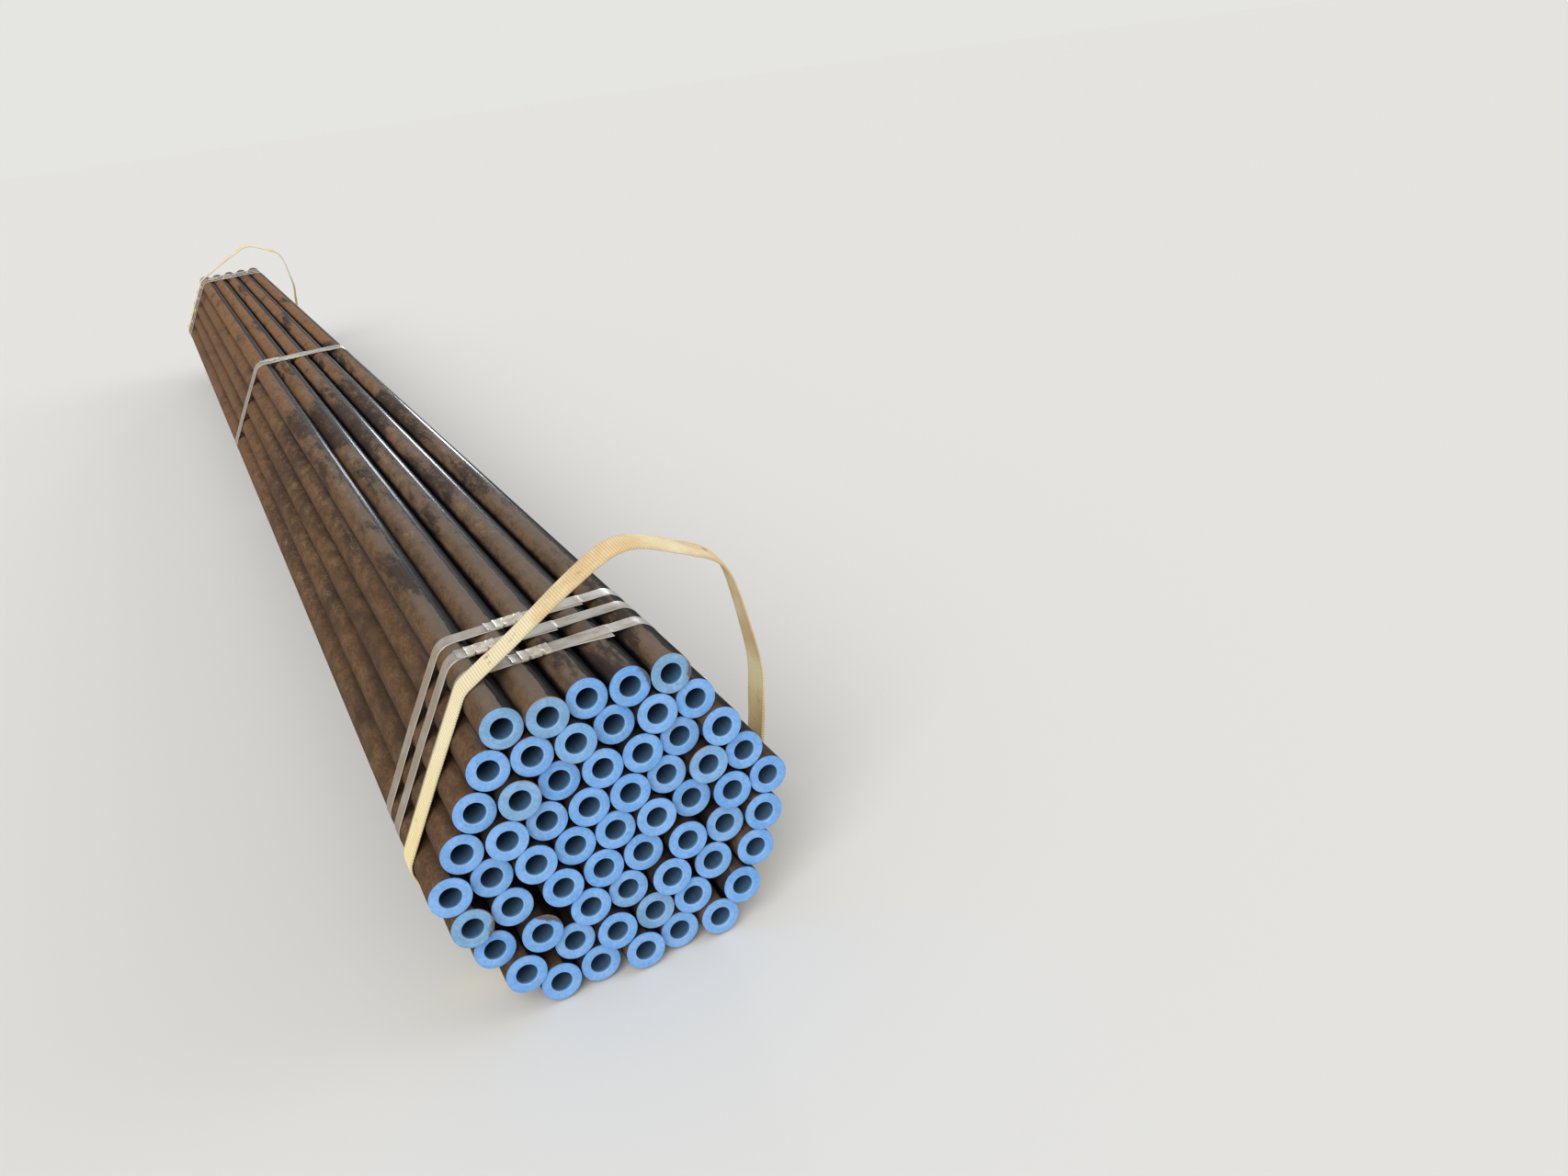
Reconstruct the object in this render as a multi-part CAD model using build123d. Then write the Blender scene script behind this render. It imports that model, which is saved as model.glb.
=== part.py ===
from build123d import *
import math
import os

# A bundle of thick-walled steel pipes, strapped as a six-sided pack, with two webbing
# slings left round it for lifting. The pipes run along Y and their painted front ends
# are at -Y. Z is up, and the bundle lies on its slings. Sizes are in millimetres.

# Pipes
PIPE_OD = 60.3
PIPE_WALL = 14.2
PIPE_LENGTH = 6000.0
END_STAGGER = 8.0
STAGGER_STEP = 2.4  # radians from one pipe's stagger to the next

# Pack: one tuple for each row, from the floor up, with the extra room between each
# pipe and the next, left to right. The lower rows have slipped, the upper ones lie tight.
ROW_GAPS = (
    (2.0, 6.0, 0.0, 4.0),
    (19.0, 0.0, 3.0, 1.0, 16.0),
    (7.0, 15.0, 0.0, 4.0, 10.0, 8.0),
    (0.0, 12.0, 3.0, 2.0, 5.0, 5.0, 0.0),
    (0.0, 0.0, 0.0, 0.0, 0.0, 0.0, 0.0, 0.0),
    (0.0, 0.0, 0.0, 0.0, 0.0, 0.0, 0.0),
    (0.0, 0.0, 0.0, 0.0, 0.0, 0.0),
    (0.0, 0.0, 0.0, 0.0, 0.0),
    (0.0, 0.0, 0.0, 0.0),
)
ROW_SHIFTS = (1.2, -0.9, -0.3, -1.5, -2.0, -2.1, -3.0, -2.4, -2.4)
PACK_CLEARANCE = 0.3

# Steel straps: the distances are from each end of the pipes to the strap's middle.
STRAP_WIDTH = 32.0
STRAP_THICKNESS = 0.9
STRAP_CLEARANCE = 0.3
FRONT_STRAPS = (137.0, 212.0, 277.0)
REAR_STRAPS = (137.0, 205.0, 282.0)
MIDDLE_STRAPS = (-21.0, 21.0)  # from the middle of the pipes' length
LAP_CLEARANCE = 0.15
LAP_UNDER = 90.0  # lower end of a strap, past its seal
LAP_OVER = 14.0  # upper end of a strap, past its seal
JOGGLE = 4.0  # length over which the upper layer steps up
LAP_SLIT = 1.0  # between the lower end and the step

# Crimped seals: each sits between two crests of the top row, nearest its given place.
SEAL_LENGTH = 45.0
SEAL_WALL = 0.9
SEAL_CLEARANCE = 0.15
SEAL_SEAM = 6.0  # between the two folded edges, underneath
NOTCH_DEPTH = 5.0
NOTCH_WIDTH = 6.0
NOTCH_SPACING = 20.0
SEAL_PLACES = (-32.0, -94.0, -32.0)  # X for the seals of each group's three straps

# Webbing slings: closed loops, tight under the pack and slack over it
SLING_WIDTH = 50.0
SLING_THICKNESS = 3.5
SLING_CLEARANCE = 0.3
SLING_SETBACK = 115.0  # from the end of the pipes to the sling's middle
SLACK_RISES = (132.0, 124.0)  # crown of each loop above the top of the pack
SLACK_BULGE = 22.0  # how far the slack side stands out past the pack
CROWN_INSET = 150.0  # crown's middle, in from the side of the pack
CROWN_RADIUS = 75.0
SHOULDER_INSET = 62.0
SHOULDER_DROP = 42.0
SHOULDER_RADIUS = 62.0
SIDE_RADIUS = 60.0

# Worked out from the sizes above
PIPE_RADIUS = PIPE_OD / 2
BORE_RADIUS = PIPE_RADIUS - PIPE_WALL
SLING_OFFSET = STRAP_CLEARANCE + STRAP_THICKNESS + SLING_CLEARANCE
FLOOR_TO_AXIS = SLING_THICKNESS + SLING_OFFSET + PIPE_RADIUS
SEAL_HEIGHT = 2 * STRAP_THICKNESS + LAP_CLEARANCE + 2 * SEAL_CLEARANCE
TALL = 4 * PIPE_OD * len(ROW_GAPS)  # more than the height of the pack


def resting_height(x, laid):
    """Height at which a pipe let down at x meets the pipes already laid."""
    reach = PIPE_OD + PACK_CLEARANCE
    heights = [FLOOR_TO_AXIS]
    for laid_x, laid_z in laid:
        aside = abs(x - laid_x)
        if aside < reach:
            heights.append(laid_z + math.sqrt(reach**2 - aside**2))
    return max(heights)


def stack_rows():
    """Centres of the pipes, row by row from the floor up."""
    rows = []
    laid = []
    for gaps, shift in zip(ROW_GAPS, ROW_SHIFTS):
        steps = [PIPE_OD + PACK_CLEARANCE + gap for gap in gaps]
        x = shift - sum(steps) / 2
        row = []
        for step in [0.0] + steps:
            x += step
            row.append((x, resting_height(x, laid)))
        rows.append(row)
        laid = laid + row
    return rows


def pipe():
    """One pipe with its front end at Y = 0."""
    wall = Circle(PIPE_RADIUS) - Circle(BORE_RADIUS)
    return Rot(90, 0, 0) * extrude(wall, -PIPE_LENGTH)


def pipe_rows(rows):
    """Each row of pipes as one part of separate solids, with uneven ends."""
    blank = pipe()
    count = 0
    parts = []
    for row in rows:
        pipes = []
        for x, z in row:
            stagger = END_STAGGER * math.sin(STAGGER_STEP * count)
            pipes.append(Pos(x, stagger, z) * blank)
            count += 1
        parts.append(Compound(pipes))
    return parts


def rim(rows):
    """Circles of the pipes that a band round the pack can touch."""
    ends = [row[0] for row in rows] + [row[-1] for row in rows]
    outer = ends + rows[0][1:-1] + rows[-1][1:-1]
    return [(x, z, PIPE_RADIUS) for x, z in outer]


def loop_face(circles, stand_off):
    """Face inside a band pulled tight round circles, given as x, z and radius.

    The band keeps the stand-off from every circle.
    """
    outlines = []
    for x, z, radius in circles:
        outlines.append(CenterArc((x, z), radius + stand_off, 0, 360).edge())
    return make_hull(outlines)


def along_bundle(section, middle, width):
    """Give a section drawn in X and Z its width along the bundle."""
    return Pos(0, middle + width / 2, 0) * Rot(90, 0, 0) * extrude(section, width)


def window(rows, left, right):
    """Upright strip over the upper half of the pack, from one X to another."""
    middle = rows[len(rows) // 2][0][1]
    return Pos((left + right) / 2, middle + TALL / 2) * Rectangle(right - left, TALL)


def valley(rows, wanted_x):
    """Place and tilt of the line between two crests of the top row, nearest to an X."""
    pairs = zip(rows[-1], rows[-1][1:])
    left, right = min(pairs, key=lambda pair: abs(pair[0][0] + pair[1][0] - 2 * wanted_x))
    (left_x, left_z), (right_x, right_z) = left, right
    tilt = math.degrees(math.atan2(right_z - left_z, right_x - left_x))
    crest = (left_z + right_z) / 2 + PIPE_RADIUS / math.cos(math.radians(tilt))
    return (left_x + right_x) / 2, crest, tilt


def strap_section(rows, faces, seal_x):
    """Strap as a section: a loop whose ends lap at the seal, one over the other."""
    inside, lower_top, upper_bottom, upper_top = faces
    left = seal_x - SEAL_LENGTH / 2 - LAP_OVER
    step = seal_x + SEAL_LENGTH / 2 + LAP_UNDER
    loop = lower_top - inside - window(rows, step - LAP_SLIT, step)
    over = (upper_top - upper_bottom) & window(rows, left, step)
    riser = (upper_top - inside) & window(rows, step, step + JOGGLE)
    return loop + over + riser


def seal_place(rows, wanted_x, station):
    """Frame of a seal: X along the strap, Y across it and Z outwards."""
    x, crest, tilt = valley(rows, wanted_x)
    return Pos(x, station, crest + STRAP_CLEARANCE) * Rot(0, -tilt, 0)


def crimp_notches():
    """Wedges cut into both edges of a seal and of the strap inside it."""
    reach = STRAP_WIDTH / 2 - NOTCH_DEPTH
    edge = STRAP_WIDTH / 2 + SEAL_CLEARANCE + SEAL_WALL + 1
    wedge = make_face(
        Polyline((0, reach), (NOTCH_WIDTH / 2, edge), (-NOTCH_WIDTH / 2, edge), (0, reach))
    )
    cutter = Pos(0, 0, -SEAL_HEIGHT) * extrude(wedge, 3 * SEAL_HEIGHT)
    cutters = []
    for side in (0, 180):
        for place in (-NOTCH_SPACING / 2, NOTCH_SPACING / 2):
            cutters.append(Pos(place, 0, 0) * Rot(0, 0, side) * cutter)
    return cutters


def seal():
    """Sheet sleeve round both layers of a strap, with its edges folded underneath."""
    room = STRAP_WIDTH + 2 * SEAL_CLEARANCE
    sleeve = Rectangle(room + 2 * SEAL_WALL, SEAL_HEIGHT + 2 * SEAL_WALL)
    sleeve -= Rectangle(room, SEAL_HEIGHT)
    sleeve -= Pos(0, -SEAL_HEIGHT / 2) * Rectangle(SEAL_SEAM, 2.5 * SEAL_WALL)
    body = Pos(-SEAL_LENGTH / 2, 0, SEAL_HEIGHT / 2 - SEAL_CLEARANCE) * (
        Plane.YZ * extrude(sleeve, SEAL_LENGTH)
    )
    return body - crimp_notches()


def strap_faces(rows):
    """Faces inside the lower and upper surfaces of a strap's two layers."""
    top = STRAP_CLEARANCE + STRAP_THICKNESS
    levels = (STRAP_CLEARANCE, top, top + LAP_CLEARANCE, top + LAP_CLEARANCE + STRAP_THICKNESS)
    circles = rim(rows)
    return [loop_face(circles, level) for level in levels]


def straps_and_seals(rows, faces, stations):
    """A strap and its seal for each place along the bundle."""
    pairs = []
    for wanted_x, station in zip(SEAL_PLACES, stations):
        place = seal_place(rows, wanted_x, station)
        section = strap_section(rows, faces, valley(rows, wanted_x)[0])
        strap = along_bundle(section, station, STRAP_WIDTH)
        strap -= [place * notch for notch in crimp_notches()]
        pairs.append((strap, place * seal()))
    return pairs


def sling(rows, middle, rise):
    """Webbing loop, tight under the pack and standing off it in a slack arch."""
    top = max(z for x, z in rows[-1]) + PIPE_RADIUS
    side = max(row[-1][0] for row in rows) + PIPE_RADIUS
    waist = rows[len(rows) // 2][-1][1]
    crown = top + rise
    bends = (
        (side - CROWN_INSET, crown - CROWN_RADIUS, CROWN_RADIUS),
        (side - SHOULDER_INSET, crown - SHOULDER_DROP - SHOULDER_RADIUS, SHOULDER_RADIUS),
        (side + SLACK_BULGE - SIDE_RADIUS, (waist + top) / 2, SIDE_RADIUS),
    )
    circles = rim(rows) + list(bends)
    inside = loop_face(circles, SLING_OFFSET)
    outside = loop_face(circles, SLING_OFFSET + SLING_THICKNESS)
    return along_bundle(outside - inside, middle, SLING_WIDTH)


def build():
    """Every piece under its name, with the origin under the middle of the whole."""
    rows = stack_rows()
    nodes = {}
    for number, part in enumerate(pipe_rows(rows), start=1):
        nodes[f"pipes_row_{number}"] = part

    groups = {
        "front": FRONT_STRAPS,
        "middle": [PIPE_LENGTH / 2 + place for place in MIDDLE_STRAPS],
        "rear": [PIPE_LENGTH - place for place in REAR_STRAPS],
    }
    faces = strap_faces(rows)
    for group, stations in groups.items():
        for number, pair in enumerate(straps_and_seals(rows, faces, stations), start=1):
            nodes[f"strap_{group}_{number}"], nodes[f"seal_{group}_{number}"] = pair

    nodes["sling_front"] = sling(rows, SLING_SETBACK, SLACK_RISES[0])
    nodes["sling_rear"] = sling(rows, PIPE_LENGTH - SLING_SETBACK, SLACK_RISES[1])

    box = Compound(list(nodes.values())).bounding_box()
    to_origin = Pos(-box.center().X, -box.center().Y, -box.min.Z)
    return {name: to_origin * part for name, part in nodes.items()}


if __name__ == "__main__":
    os.makedirs("parts", exist_ok=True)
    for name, part in build().items():
        export_step(part, f"parts/{name}.step")
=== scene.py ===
"""Bundle of thick-walled steel pipes, with painted ends, steel straps and webbing slings.

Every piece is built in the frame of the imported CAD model. The pipes run along Y, their
painted front ends are at -Y, and Z is up. Lengths are in metres.
"""

import math
import random
from functools import partialmethod

import bmesh
import bpy
from mathutils import Matrix, Vector, noise


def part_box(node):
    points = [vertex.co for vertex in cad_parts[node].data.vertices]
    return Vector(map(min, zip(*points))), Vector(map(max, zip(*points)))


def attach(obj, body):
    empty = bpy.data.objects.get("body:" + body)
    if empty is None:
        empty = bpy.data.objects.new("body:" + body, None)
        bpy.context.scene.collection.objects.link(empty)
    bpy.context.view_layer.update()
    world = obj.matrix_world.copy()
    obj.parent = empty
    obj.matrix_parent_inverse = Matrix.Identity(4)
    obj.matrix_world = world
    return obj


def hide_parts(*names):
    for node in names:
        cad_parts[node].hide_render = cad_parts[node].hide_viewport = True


bl_info = {
    "name": "Bundle of steel pipes",
    "version": (1, 0, 0),
    "blender": (4, 5, 0),
    "location": "3D View > Sidebar > Pipe bundle",
    "description": "Dresses a strapped bundle of painted steel pipes over its CAD frame",
    "category": "Object",
}

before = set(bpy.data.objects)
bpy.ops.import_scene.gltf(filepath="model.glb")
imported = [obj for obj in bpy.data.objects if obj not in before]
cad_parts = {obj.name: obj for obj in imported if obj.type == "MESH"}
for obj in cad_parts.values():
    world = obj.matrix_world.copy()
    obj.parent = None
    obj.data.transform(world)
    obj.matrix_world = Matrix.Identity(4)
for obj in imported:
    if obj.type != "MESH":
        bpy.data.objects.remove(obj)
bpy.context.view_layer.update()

ROWS = 9
STRAPS = ("front_1", "front_2", "front_3", "middle_1", "middle_2", "rear_1", "rear_2", "rear_3")
SLINGS = ("front", "rear")

# Sizes that the boxes of the CAD solids don't give
PIPE_RADIUS = 0.03015
PIPE_WALL = 0.0142
BORE_RADIUS = PIPE_RADIUS - PIPE_WALL
STRAP_THICKNESS = 0.0009
STRAP_CLEARANCE = 0.0003
LAP_CLEARANCE = 0.00015
LAP_UNDER = 0.090
LAP_OVER = 0.014
JOGGLE = 0.004
SEAL_LENGTH = 0.045
SEAL_WALL = 0.0009
SEAL_SEAM = 0.006
NOTCH_SHARE = 0.3125
NOTCH_WIDTH = 0.006
NOTCH_SPACING = 0.020
SLING_THICKNESS = 0.0035
SLING_CLEARANCE = 0.0003

# Sewn lap of a sling, on the lower right of the loop. Distances round it start at its
# right side and run over the top.
LAP_START = -0.215
LAP_RISE = 0.0028
LAP_DIP = 0.020
LAP_INSET = 0.0015
STITCH_PITCH = 0.0055
STITCH_ROWS = (-0.0195, -0.0065, 0.0065, 0.0195)
STITCH_HALF = (0.0021, 0.00045, 0.0004)

# Stains on the webbing: where along and across it, and their size
WEBBING_STAINS = ((0.215, 0.006, 0.007), (1.09, -0.004, 0.012), (0.60, 0.012, 0.006))

# Fineness of the lines round the pack: directions of pull, and spacing of their points
LOOP_TURNS = 1440
LOOP_SPACING = 0.0025

# Spacing along a strap, wide and close, and how far the close part reaches from a seal
STRAP_SPACING = 0.0045
CLOSE_SPACING = 0.0014
CLOSE_REACH = 0.040

# Slack side of each sling: circles it bends round, as X and Z from the top right corner
# of the pack, and radius
SLING_RISES = {"front": 0.132, "rear": 0.124}
CROWN = (-0.150, -0.075, 0.075)
SHOULDER = (-0.062, -0.104, 0.062)
SIDE_BULGE = 0.022
SIDE_RADIUS = 0.060

# Loose ends of a strap: how much of each its seal holds straight, how far the upper one
# lifts, and which lower ones stray more than the rest, as a factor on the tail skew
TAIL_HELD = 0.012
TIP_HELD = 0.002
TIP_LIFT = 0.0024
SKEWED_TAILS = {"front_1": -1.9}

# Where a sling is slack: twist in degrees, and how far it waves, cups and drifts aside
SLING_TWIST = 8
SLING_WAVE = 0.0025
SLING_CUP = 0.0014
SLING_DRIFT = 0.005
CREASE_WIDTH = 0.005

# Creases across the webbing: share of the loop's length, skew and depth
SLING_CREASES = ((0.515, 0.5, 0.0011), (0.528, -0.4, 0.0008), (0.13, 0.3, 0.0007))

# Pipes whose front end has lost part of its paint, by row and place from the left:
# how much is bare, and the direction of the bare side in turns from +X
BARE_ENDS = {
    (9, 5): (0.29, 0.99),
    (9, 4): (0.31, 0.06),
    (8, 2): (0.15, 0.30),
    (4, 1): (0.30, 0.95),
    (3, 2): (0.35, 0.15),
    (5, 8): (0.18, 0.05),
}

# Lamps: direction, softness in degrees, strength and colour
LAMPS = {
    "key": ((-0.42, -0.66, 0.60), 45, 2.3, (1.0, 1.0, 1.0)),
    "back": ((0.34, 0.93, 0.15), 7, 0.36, (0.86, 0.93, 1.0)),
    "side": ((0.92, -0.20, 0.40), 40, 0.5, (1.0, 1.0, 1.0)),
}

# Camera: its axes, its place and its lens in millimetres
CAMERA_RIGHT = Vector((0.88498, -0.44879, -0.12408))
CAMERA_UP = Vector((0.28071, 0.30162, 0.91117))
CAMERA_FORWARD = Vector((0.37149, 0.84120, -0.39291))
CAMERA_PLACE = (-0.374, -4.523, 1.242)
CAMERA_LENS = 29.12


def srgb(red, green, blue):
    """Linear colour for one that is written as 0 to 255."""
    shares = [level / 255 for level in (red, green, blue)]
    return tuple(
        share / 12.92 if share <= 0.04045 else ((share + 0.055) / 1.055) ** 2.4
        for share in shares
    )


def colour_property(name, description, default):
    return bpy.props.FloatVectorProperty(
        name=name, description=description, subtype="COLOR", size=3, min=0, max=1, default=default
    )


def length_property(name, description, default):
    return bpy.props.FloatProperty(
        name=name, description=description, unit="LENGTH", min=0, precision=4, default=default
    )


def seed_property(default):
    return bpy.props.IntProperty(
        name="Seed", description="Which piece strays which way", default=default
    )


class PipeSettings(bpy.types.PropertyGroup):
    facets: bpy.props.IntProperty(
        name="Facets", description="Faces round a pipe", min=24, default=96
    )
    rim_bevel: length_property("Rim bevel", "Broken edge round the outside", 0.0012)
    bore_bevel: length_property("Bore bevel", "Broken edge round the bore", 0.0016)
    seed: seed_property(11)
    paint: colour_property("End paint", "Paint on the front ends", srgb(125, 169, 221))
    overspray: colour_property("Overspray", "Paint mist inside the bores", srgb(88, 126, 160))
    scale: colour_property("Mill scale", "Dark skin of the rolled steel", srgb(62, 57, 54))
    rust: colour_property("Rust", "Thin rust over the scale", srgb(96, 70, 48))
    # Towards the rear this paler rust also stands in as painted sunlight
    old_rust_and_sunlight: colour_property("Old rust", "Thicker rust far from the paint", srgb(148, 106, 73))
    dust: colour_property("Dust", "Pale dust on the upper sides", srgb(134, 106, 78))
    steel: colour_property("Bare steel", "Sawn or scratched steel", srgb(150, 150, 152))


class StrapSettings(bpy.types.PropertyGroup):
    sway: length_property("Sway", "How far a strap strays from its line", 0.0012)
    tail_skew: length_property("Tail skew", "How far the loose lower end strays", 0.009)
    seed: seed_property(5)
    steel: colour_property("Strap steel", "Clean face of the strapping", srgb(176, 173, 167))
    grime: colour_property("Grime", "Dust and rust on the strapping", srgb(134, 114, 88))


class SealSettings(bpy.types.PropertyGroup):
    crumple: length_property("Crumple", "Unevenness of a crimped seal", 0.0006)
    flare: length_property("Flare", "How far a seal's ends stand up", 0.0012)
    seed: seed_property(3)
    steel: colour_property("Seal steel", "Bright face of the seals", srgb(208, 202, 188))


class SlingSettings(bpy.types.PropertyGroup):
    rib_pitch: length_property("Rib pitch", "From one rib of the weave to the next", 0.0042)
    rib_height: length_property("Rib height", "Height of a rib above its groove", 0.0007)
    join_length: length_property("Join length", "Length of the sewn lap", 0.170)
    seed: seed_property(2)
    webbing: colour_property("Webbing", "Clean polyester webbing", srgb(246, 234, 192))
    ochre: colour_property("Ochre", "Where handling has darkened the webbing", srgb(222, 180, 118))
    soil: colour_property("Soil", "Dirt and rust rubbed into the webbing", srgb(112, 92, 70))


class StageSettings(bpy.types.PropertyGroup):
    floor: colour_property("Floor", "Plain pale floor", srgb(226, 225, 222))
    backdrop: colour_property("Backdrop", "What is seen past the floor", srgb(229, 229, 226))
    ambient: bpy.props.FloatProperty(
        name="Ambient", description="Strength of the light from all round", min=0, default=0.50
    )
    lamps: bpy.props.FloatProperty(
        name="Lamps", description="Factor on the strength of every lamp", min=0, default=1.0
    )


# Materials


class Value:
    """A node's output. Python's operators on it add Math nodes."""

    def __init__(self, nodes, socket):
        self.nodes = nodes
        self.socket = socket

    def maths(self, operation, *others):
        """Math node on this value and then the others."""
        values = dict(enumerate((self, *others)))
        return self.nodes.node("ShaderNodeMath", {"operation": operation}, values)

    __add__ = __radd__ = partialmethod(maths, "ADD")
    __sub__ = partialmethod(maths, "SUBTRACT")
    __mul__ = __rmul__ = partialmethod(maths, "MULTIPLY")
    __truediv__ = partialmethod(maths, "DIVIDE")
    __pow__ = partialmethod(maths, "POWER")
    __abs__ = partialmethod(maths, "ABSOLUTE")
    sine = partialmethod(maths, "SINE")
    cosine = partialmethod(maths, "COSINE")
    at_least = partialmethod(maths, "MAXIMUM")

    def __rsub__(self, other):
        values = {0: other, 1: self}
        return self.nodes.node("ShaderNodeMath", {"operation": "SUBTRACT"}, values)

    def rising(self, low, high):
        """0 below low and 1 above high, with a smooth change between them."""
        return self.nodes.node(
            "ShaderNodeMapRange",
            {"interpolation_type": "SMOOTHSTEP"},
            {"Value": self, "From Min": low, "From Max": high},
        )

    def falling(self, low, high):
        """1 below low and 0 above high, with a smooth change between them."""
        return 1 - self.rising(low, high)


class Nodes:
    """The node tree of a material or a world, emptied to start with."""

    def __init__(self, owner):
        owner.use_nodes = True
        self.tree = owner.node_tree
        self.tree.nodes.clear()

    def node(self, kind, settings=None, sockets=None, output=0):
        """Add a node with its settings, then its sockets' values or links."""
        made = self.tree.nodes.new(kind)
        for name, setting in (settings or {}).items():
            setattr(made, name, setting)
        for key, value in (sockets or {}).items():
            if isinstance(value, Value):
                self.tree.links.new(value.socket, made.inputs[key])
            else:
                made.inputs[key].default_value = value
        return Value(self, made.outputs[output]) if made.outputs else None

    def other_output(self, value, name):
        """Another output of the node that a value comes from."""
        return Value(self, value.socket.node.outputs[name])


class Shader(Nodes):
    """A node material in the making."""

    def __init__(self, name):
        self.material = bpy.data.materials.new(name)
        super().__init__(self.material)

    def place(self):
        """Where a point is on the whole bundle."""
        return self.node("ShaderNodeTexCoord", output="Object")

    def attribute(self, name):
        return self.node("ShaderNodeAttribute", {"attribute_name": name}, output="Vector")

    def parts(self, vector):
        """The X, Y and Z of a vector."""
        split = self.node("ShaderNodeSeparateXYZ", sockets={"Vector": vector})
        return tuple(self.other_output(split, axis) for axis in "XYZ")

    def vector(self, x, y, z):
        return self.node("ShaderNodeCombineXYZ", sockets={"X": x, "Y": y, "Z": z})

    def vector_maths(self, operation, first, second, output="Vector"):
        return self.node(
            "ShaderNodeVectorMath", {"operation": operation}, {0: first, 1: second}, output
        )

    def stretched(self, vector, *shares):
        return self.vector_maths("MULTIPLY", vector, shares)

    def noise(self, vector, scale, detail=4.0, roughness=0.55, distortion=0.0):
        """Cloudy pattern about 0.5; scale is its number of lumps in a metre."""
        sockets = {
            "Vector": vector,
            "Scale": scale,
            "Detail": detail,
            "Roughness": roughness,
            "Distortion": distortion,
        }
        return self.node("ShaderNodeTexNoise", sockets=sockets, output="Fac")

    def mix(self, share, first, second):
        """First colour, going over to the second as the share goes from 0 to 1."""
        sockets = {0: share}
        for key, colour in ((6, first), (7, second)):
            sockets[key] = colour if isinstance(colour, Value) else (*colour, 1.0)
        return self.node("ShaderNodeMix", {"data_type": "RGBA"}, sockets, output=2)

    def layered(self, colour, *layers):
        """A colour with others laid over it in turn, each given as its share and colour."""
        for share, over in layers:
            colour = self.mix(share, colour, over)
        return colour

    def bump(self, height):
        """Normal of a surface whose relief has this height in metres."""
        return self.node(
            "ShaderNodeBump", sockets={"Height": height, "Distance": 1.0, "Strength": 1.0}
        )

    def surface(self, **sockets):
        """Finish the material with these sockets of its surface, in snake case."""
        names = {
            name.replace("_", " ").title().replace("Ior", "IOR"): value
            for name, value in sockets.items()
        }
        surface = self.node("ShaderNodeBsdfPrincipled", sockets=names)
        self.node("ShaderNodeOutputMaterial", sockets={"Surface": surface})
        return self.material


# Zones of the pipes' skin, by distance from the painted ends
# Weathering grows towards the rear, and there it also brings painted sunlight as paler old rust
WEATHERED_AND_SUNLIT = (0.2, 4.2)
# Dark scale gathers in a band across the pack here, as a painted shadow
DARK_BAND_STARTS = (1.35, 1.90)
DARK_BAND_ENDS = (1.95, 2.45)
MARKING_STARTS = (0.55, 0.75)
MARKING_ENDS = (2.0, 2.5)
SAW_DEPTH = 0.0006

# Zones of the pack, by X: its left and right faces, and what is right of the pipes at
# its top left corner
LEFT_FACE = (-0.20, -0.13)
RIGHT_FACE = (0.15, 0.24)
PAST_CORNER = (-0.093, -0.088)

# Colours of the pipes' skin that no setting gives
BARE_SCALE = srgb(44, 39, 36)
SCALE_PATCH = srgb(38, 36, 37)
FRONT_RUST = srgb(96, 78, 61)
LEFT_RUST = srgb(91, 69, 50)
PITTED = srgb(50, 40, 34)
# Painted sheen on the backs of the top pipes
PAINTED_SHEEN = srgb(130, 119, 110)
# Painted shade: near black down the pipes' right sides and in the valleys, dark grey on the pack's
# right face
SHADED = srgb(10, 10, 13)
RIGHT_SHADED = srgb(44, 42, 42)
# Dust-free scale of the inner pipes, darkened further as painted shade between them
SHELTERED_SHADE = srgb(26, 23, 22)
MARKING = srgb(166, 150, 122)
# Painted shade on the walls of the bores
BORE = srgb(16, 20, 24)
SAW_GROOVE = srgb(112, 111, 111)
FRONT_STEEL = srgb(72, 60, 50)
RIM_RUST = srgb(186, 134, 84)


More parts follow.
